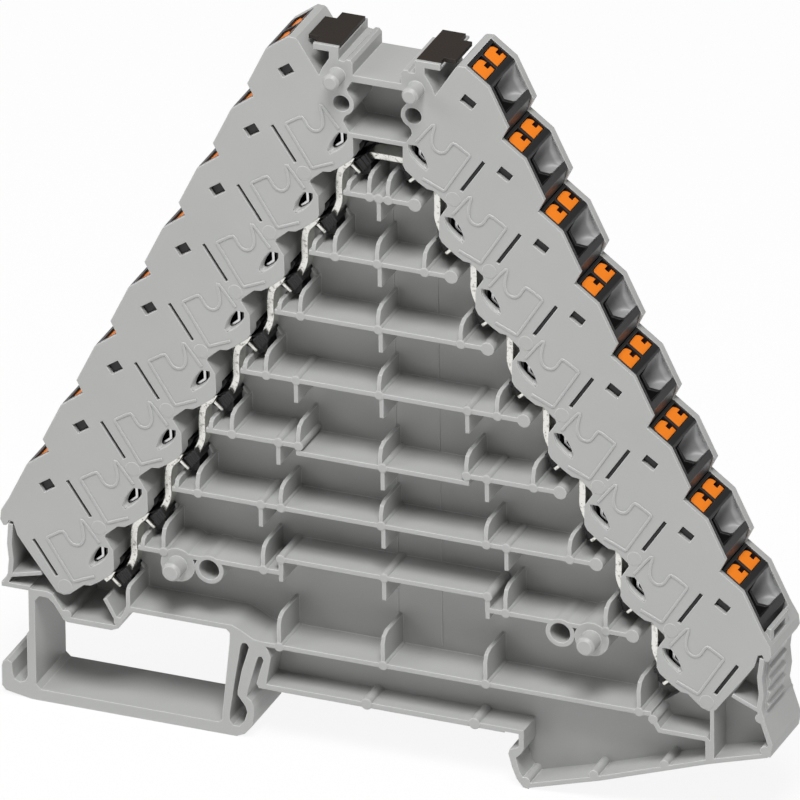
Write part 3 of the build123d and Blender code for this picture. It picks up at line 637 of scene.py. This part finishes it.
# %% The bar and its lugs
BAR_TOP = [(0.0, 79.75), (1.5, 79.75)]
BAR_STEP = [(2.45, 79.65), (2.7, 79.1), (3.4, 78.6), (4.3, 78.55), (4.94, 78.27), (5.7, 77.55),
            (6.14, 76.77), (6.3, 75.6), (6.32, 74.3), (6.24, 73.1), (6.5, 72.07), (6.9, 71.2)]
LAST_POINTS = 6
BAR_WIDTH, BAR_FRONT, BAR_REAR = 0.85, 2.9, 5.3
LUG = [(4.2, 78.55), (3.15, 77.6)]
LUG_WIDTH, LUG_FRONT, LUG_REAR = 0.42, 1.9, 5.0
bar_line = list(BAR_TOP)
for level in range(LEVELS):
    steps = BAR_STEP if level < LEVELS - 1 else BAR_STEP[:LAST_POINTS]
    bar_line += beside_level(steps, level, 1)
left_line = [(-x, z) for x, z in reversed(bar_line[1:])]
bm = bmesh.new()
add_strip(bm, cut_corners(left_line + bar_line), BAR_WIDTH, BAR_FRONT, BAR_REAR)
for level, side in every_place():
    add_strip(bm, beside_level(LUG, level, side), LUG_WIDTH, LUG_FRONT, LUG_REAR)
finish_piece("bent_bar", bm, bright_tin, "tinned_copper", soft=0.27, stands_for=("current_bar",))

# %% [markdown]
# ## The housing with its finer ribs
# The solid's guide ribs have a small corner cut, and the ribs that hang under the shelves are a
# little long. The housing is seen more than any other piece, so a copy of its mesh stands for it
# here, with those few points moved: the hanging ribs end level and higher, and the guide ribs
# get a larger round corner at the front. The shallow steps of the plates are levelled, because
# beads take their place further down.

# %% Where the ribs end on the solid
GUIDE_HEIGHT, HANGER_LENGTH = 2.6, 3.3
LAST_GUIDE_EXTRA, BOTTOM_GUIDE_EXTRA = 0.5, 1.3
guides, hangers = [], []
for row in range(SHELVES):
    top = SHELF_TOP - LEVEL_DROP * row
    last = row == SHELVES - 1
    height = GUIDE_HEIGHT + LAST_GUIDE_EXTRA if last else GUIDE_HEIGHT
    guides += [(x, top + height) for x in guide_places(row)]
    if not last:
        hangers.append((0.0, (LOWERED_SHELF if row == LOWERED_ROW else top) - WALL))
    hangers += [(x, top - WALL) for x in side_hanger_places(row)]
guides.append((CENTRE_RIB, LOWERED_SHELF + GUIDE_HEIGHT))
guides += [(x, BOTTOM_SHELF + GUIDE_HEIGHT + BOTTOM_GUIDE_EXTRA) for x in BOTTOM_RIBS]
hangers += [(x, RAISED_SHELF - WALL) for x in RAISED_RIBS]
print("guide ribs:", len(guides), "hanging ribs:", len(hangers))

# %% Move the ribs' corners on a copy of the housing
HANGER_END = 2.66
CORNER_CUT, ROUND_CORNER, ROUND_SHARE = 0.7, 1.35, 0.3
KEY_DEPTH = 0.12
RIB_NEAR, POINT_NEAR, KEY_NEAR = 0.27, 0.02, 0.01
CUT_REACH = 0.5
MERGE = 1e-6


def new_place(x, y, z):
    """Where a point of the housing goes, in mm, or None if it stays."""
    for rib_x, rib_top in hangers:
        low = rib_top - HANGER_LENGTH
        if abs(x - rib_x) < RIB_NEAR and low - POINT_NEAR < z < low + CORNER_CUT + POINT_NEAR:
            return y, rib_top - HANGER_END
    for rib_x, rib_end in guides:
        if abs(x - rib_x) >= RIB_NEAR:
            continue
        if abs(y - FRONT) < POINT_NEAR and abs(z - rib_end + CORNER_CUT) < POINT_NEAR:
            return y, rib_end - ROUND_CORNER
        if abs(z - rib_end + CORNER_CUT / 3) < POINT_NEAR and y < FRONT + CUT_REACH:
            return FRONT + ROUND_CORNER * ROUND_SHARE, rib_end - ROUND_CORNER * ROUND_SHARE
        if abs(z - rib_end) < POINT_NEAR and abs(y - FRONT - CORNER_CUT) < POINT_NEAR:
            return FRONT + ROUND_CORNER, z
    return None


shell_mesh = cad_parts["housing"].data.copy()
bm = bmesh.new()
bm.from_mesh(shell_mesh)
bmesh.ops.remove_doubles(bm, verts=bm.verts[:], dist=MERGE)
moved = 0
for vert in bm.verts:
    x, y, z = (v / MM for v in vert.co)
    place = new_place(x, y, z)
    if place:
        vert.co.y, vert.co.z = place[0] * MM, place[1] * MM
        moved += 1
    if abs(y - FRONT - KEY_DEPTH) < KEY_NEAR:
        vert.co.y = FRONT * MM
bmesh.ops.remove_doubles(bm, verts=bm.verts[:], dist=MERGE)
bmesh.ops.dissolve_degenerate(bm, edges=bm.edges[:], dist=MERGE)
bm.to_mesh(shell_mesh)
bm.free()
print("points moved:", moved)

# %% Put the copy in the housing's place
SHARP_ANGLE = 28
if "custom_normal" in shell_mesh.attributes:
    shell_mesh.attributes.remove(shell_mesh.attributes["custom_normal"])
shell_mesh.shade_smooth()
shell_mesh.set_sharp_from_angle(angle=math.radians(SHARP_ANGLE))
shell_mesh.materials.clear()
shell_mesh.materials.append(grey_resin)
shell = bpy.data.objects.new("housing_shell", shell_mesh)
bpy.context.scene.collection.objects.link(shell)
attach(shell, "housing")
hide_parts("housing")
print("housing shell faces:", len(shell_mesh.polygons))

# %% [markdown]
# ## Lines of the mould
# Two upright lines run down the back of the cells where parts of the mould met, and a fine bead
# follows the keyhole-like step in each front plate. They are thin, but they catch the light.

# %% Mould lines on the back wall
MOULD_LINES, LINE_LOW, LINE_TOP = (-0.62, 5.0), 14.0, 75.0
LINE_HALF, LINE_FRONT, LINE_REAR = 0.07, 5.82, 6.2
bm = bmesh.new()
for x in MOULD_LINES:
    line = [(x - LINE_HALF, LINE_LOW), (x + LINE_HALF, LINE_LOW), (x + LINE_HALF, LINE_TOP),
            (x - LINE_HALF, LINE_TOP)]
    add_prism(bm, line, LINE_FRONT, LINE_REAR)
finish_piece("mould_lines", bm, grey_resin, "housing_plastic", soft=0.03)

# %% Beads along the steps of the front plates
KEY = [(5.7, 79.45), (7.1, 78.85), (8.1, 78.4), (8.45, 78.25), (8.8, 78.8), (11.55, 83.15),
       (11.8, 83.55), (11.4, 83.85), (9.75, 84.9), (9.4, 84.6), (8.75, 83.5), (8.05, 83.2),
       (7.35, 83.45), (6.95, 84.2), (7.0, 85.3), (7.4, 86.85), (7.0, 86.75), (4.95, 84.1)]
BEAD_WIDTH, BEAD_PROUD, BEAD_REAR = 0.34, 0.1, 0.15
bm = bmesh.new()
for level, side in every_place():
    outline = cut_corners(beside_level(KEY, level, side), 1)
    add_strip(bm, outline, BEAD_WIDTH, -BEAD_PROUD, BEAD_REAR)
finish_piece("plate_beads", bm, grey_resin, "housing_plastic", soft=0.1)

# %% [markdown]
# ## Noses of the inserts
# Each insert reaches through a door in the housing's inner wall with a small black nose, which
# hides the bar for a moment. The insert's solid has a larger nose, so a copy of it is made, the
# old nose is cut off with a boolean, and the new one is set in its place, with grooves on its
# face. The latch lug in the front window sits deeper too, as the shadow in the window shows.

# %% The room that the old noses take
NOSE_ROOM = [(-1.5, 75.0), (-1.5, 82.9), (3.1, 82.9), (3.1, 80.75), (3.5, 80.0), (5.1, 78.7),
             (6.2, 78.0), (6.6, 77.9), (6.6, 75.0)]
NOSE_FRONT, NOSE_BACK = 0.9, 7.5


def nose_cutter(level, side):
    """Prism that takes an insert's old nose away."""
    bm = bmesh.new()
    add_prism(bm, beside_level(NOSE_ROOM, level, side), NOSE_FRONT, NOSE_BACK)
    bmesh.ops.recalc_face_normals(bm, faces=bm.faces[:])
    mesh = bpy.data.meshes.new("cutter")
    bm.to_mesh(mesh)
    bm.free()
    cutter = bpy.data.objects.new("cutter", mesh)
    bpy.context.scene.collection.objects.link(cutter)
    return cutter


print("helper ready:", nose_cutter.__name__)

# %% Inserts with their noses cut off
LUG_WINDOW, LUG_REACH = (11.65, 90.6), 1.3
LUG_DEPTH, SEAM_DEPTH = 0.5, 0.28
FRONT_ZONE = 0.4


def deeper_front(node, level, side):
    """Copy of an insert's mesh whose latch lug and front seam lie deeper."""
    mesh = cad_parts[node].data.copy()
    bm = bmesh.new()
    bm.from_mesh(mesh)
    bmesh.ops.remove_doubles(bm, verts=bm.verts[:], dist=MERGE)
    (lug_x, lug_z), = beside_level([LUG_WINDOW], level, side)
    for vert in bm.verts:
        if vert.co.y < (FRONT + FRONT_ZONE) * MM:
            on_lug = math.hypot(vert.co.x / MM - lug_x, vert.co.z / MM - lug_z) < LUG_REACH
            vert.co.y = (FRONT + (LUG_DEPTH if on_lug else SEAM_DEPTH)) * MM
    bm.to_mesh(mesh)
    bm.free()
    return mesh


def trimmed_insert(level, side):
    """Copy of an insert without its nose and with a deeper latch lug."""
    word = "right" if side == 1 else "left"
    node = f"contact_insert_{word}_{level + 1}"
    cutter = nose_cutter(level, side)
    mesh = deeper_front(node, level, side)
    piece = bpy.data.objects.new(f"trimmed_insert_{word}_{level + 1}", mesh)
    bpy.context.scene.collection.objects.link(piece)
    cut = piece.modifiers.new("cut", "BOOLEAN")
    cut.operation = "DIFFERENCE"
    cut.solver = "EXACT"
    cut.object = cutter
    bpy.context.view_layer.update()
    state = bpy.context.evaluated_depsgraph_get()
    shaped = bpy.data.meshes.new_from_object(piece.evaluated_get(state))
    piece.modifiers.clear()
    piece.data = shaped
    shaped.materials.clear()
    shaped.materials.append(black_resin)
    bpy.data.objects.remove(cutter)
    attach(piece, "housing")
    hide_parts(node)
    return piece


inserts = [trimmed_insert(level, side) for level, side in every_place()]
print("inserts trimmed:", len(inserts), "faces each:", len(inserts[0].data.polygons))

# %% New noses, grooved
NOSE_BLOCK = [(4.0, 78.75), (2.5, 80.2), (1.75, 79.1), (2.95, 77.55)]
BLOCK_FRONT = 2.35
NOSE_ROOT = [(4.3, 78.9), (2.5, 80.1), (2.1, 79.2), (2.1, 77.3), (3.1, 76.9), (5.0, 77.6)]
ROOT_FRONT = 2.9
NOSE_RIBS, RIB_OFFSET, RIB_HALF = 3, 0.6, 0.14
NOSE_RIB_FRONT, NOSE_RIB_REAR = 2.2, 2.5


def between(start, end, share):
    """Point on the way from one to another."""
    return start[0] * (1 - share) + end[0] * share, start[1] * (1 - share) + end[1] * share


bm = bmesh.new()
for level, side in every_place():
    add_prism(bm, beside_level(NOSE_ROOT, level, side), ROOT_FRONT, CELL_DEPTH)
    add_prism(bm, beside_level(NOSE_BLOCK, level, side), BLOCK_FRONT, CELL_DEPTH)
    a, b, c, d = NOSE_BLOCK
    for i in range(NOSE_RIBS):
        share = (i + RIB_OFFSET) / NOSE_RIBS
        top, low = between(b, a, share), between(c, d, share)
        rib = [(top[0] - RIB_HALF, top[1]), (top[0] + RIB_HALF, top[1]),
               (low[0] + RIB_HALF, low[1]), (low[0] - RIB_HALF, low[1])]
        add_prism(bm, beside_level(rib, level, side), NOSE_RIB_FRONT, NOSE_RIB_REAR)
finish_piece("insert_noses", bm, black_resin, "insert_plastic", soft=0.07)

# %% Door jambs beside the noses
JAMB = [(2.1, 78.5), (1.86, 79.5), (1.15, 78.4), (1.9, 77.7)]
JAMB_FRONT, JAMB_REAR = 5.2, CELL_DEPTH + 0.1
bm = bmesh.new()
for level, side in every_place():
    add_prism(bm, beside_level(JAMB, level, side), JAMB_FRONT, JAMB_REAR)
finish_piece("door_jambs", bm, grey_resin, "housing_plastic", soft=0.1)

# %% [markdown]
# ## Wire entries
# Below each pair of buttons lies the opening for a wire. Its rear half is a smooth scoop of pale
# resin that leads the wire in. It is a grid of points that sinks from the rim along an ellipse,
# with a second grid below it, so that it is a closed shell.

# %% The form of a scoop
CREST = (14.25, 92.95)
FACET, INWARD = (0.4363, -0.8998), (-0.8998, -0.4363)
SCOOP_TOP, SCOOP_END = 0.35, 4.75
SCOOP_FRONT, SCOOP_REAR = 4.7, 8.15
SCOOP_RIM, SCOOP_SINK, SCOOP_BEND = 0.12, 2.9, 2.9
ENTRY_START, ENTRY_LENGTH = 0.1, 2.4
EXIT_END, EXIT_LENGTH, EXIT_SHARE = 5.0, 1.5, 0.25


def under_facet(down, deep):
    """Upright point from a way down the wire facet and a depth below it."""
    return tuple(CREST[i] + FACET[i] * down + INWARD[i] * deep for i in (0, 1))


def ease(t):
    """Smooth step between 0 and 1."""
    t = min(max(t, 0.0), 1.0)
    return t * t * (3 - 2 * t)


def scoop_sink(down, depth):
    """Depth below the facet: an ellipse across the scoop, eased at its two ends."""
    t = min((SCOOP_REAR - depth) / SCOOP_BEND, 1.0)
    hollow = math.sqrt(max(0.0, 1 - (1 - t) ** 2))
    entry = ease((down - ENTRY_START) / ENTRY_LENGTH)
    leave = EXIT_SHARE + (1 - EXIT_SHARE) * ease((EXIT_END - down) / EXIT_LENGTH)
    return SCOOP_RIM + SCOOP_SINK * entry * hollow * leave


print("deepest point of a scoop:", round(scoop_sink(3.0, SCOOP_FRONT), 2), "mm")

# %% Scoops
GRID = 14
SCOOP_SKIN = 0.35


def scoop_sheet(bm, level, side, thickness):
    """Grid of points over one scoop, some way below its surface."""
    rows = []
    for i in range(GRID + 1):
        down = SCOOP_TOP + (SCOOP_END - SCOOP_TOP) * i / GRID
        row = []
        for j in range(GRID + 1):
            depth = SCOOP_REAR + (SCOOP_FRONT - SCOOP_REAR) * j / GRID
            point = under_facet(down, scoop_sink(down, depth) + thickness)
            (x, z), = beside_level([point], level, side)
            row.append(bm.verts.new((x * MM, (FRONT + depth) * MM, z * MM)))
        rows.append(row)
    return rows


around = ([(0, j) for j in range(GRID)] + [(i, GRID) for i in range(GRID)] +
          [(GRID, j) for j in range(GRID, 0, -1)] + [(i, 0) for i in range(GRID, 0, -1)])
bm = bmesh.new()
for level, side in every_place():
    top = scoop_sheet(bm, level, side, 0.0)
    under = scoop_sheet(bm, level, side, SCOOP_SKIN)
    for i in range(GRID):
        for j in range(GRID):
            bm.faces.new((top[i][j], top[i][j + 1], top[i + 1][j + 1], top[i + 1][j]))
            bm.faces.new((under[i][j], under[i + 1][j], under[i + 1][j + 1], under[i][j + 1]))
    for (i, j), (m, n) in zip(around, around[1:] + around[:1]):
        bm.faces.new((top[i][j], under[i][j], under[m][n], top[m][n]))
# The scoops take the darker copy of the housing grey, which is painted shade.
finish_piece("wire_scoops", bm, painted_shade_grey, "housing_plastic", smooth=True)

# %% [markdown]
# ## Rims of the spring windows
# The small slanted windows in the front plates have a funnel-like rim. It is a closed ring: the
# window's outline at the front, and a smaller, shifted one behind it.

# %% Window rims
PEEP_HOLE = [(3.9, 83.6), (3.9, 82.9), (4.35, 82.0), (5.15, 81.2), (6.15, 80.5), (6.45, 80.9),
             (6.1, 82.0), (5.6, 82.9), (5.0, 83.6)]
RIM_OUTER, RIM_SHARE, RIM_SHIFT = 1.03, 0.8, (-0.12, 0.14)
RIM_FRONT, RIM_LIP, RIM_REAR = 0.08, 0.62, 0.8
middle_x = sum(x for x, _ in PEEP_HOLE) / len(PEEP_HOLE)
middle_z = sum(z for _, z in PEEP_HOLE) / len(PEEP_HOLE)


def window_loop(share, shift=(0.0, 0.0)):
    """The window's rounded outline, scaled about its middle and shifted."""
    new_x, new_z = middle_x + shift[0], middle_z + shift[1]
    outline = [(new_x + (x - middle_x) * share, new_z + (z - middle_z) * share) for x, z in PEEP_HOLE]
    return cut_corners(outline + outline[:1], 1)[:-1]


outer, inner = window_loop(RIM_OUTER), window_loop(RIM_SHARE, RIM_SHIFT)
bm = bmesh.new()
for level, side in every_place():
    loops = []
    for outline, depth in ((outer, RIM_FRONT), (inner, RIM_LIP), (inner, RIM_REAR), (outer, RIM_REAR)):
        loops.append([bm.verts.new((x * MM, (FRONT + depth) * MM, z * MM))
                      for x, z in beside_level(outline, level, side)])
    for a, b in zip(loops, loops[1:] + loops[:1]):
        for i in range(len(a)):
            j = (i + 1) % len(a)
            bm.faces.new((a[i], a[j], b[j], b[i]))
finish_piece("window_rims", bm, grey_resin, "housing_plastic", soft=0.05)

# %% Size of the visual model
low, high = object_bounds()
print("visual size in mm:", [round(v / MM, 1) for v in high - low])
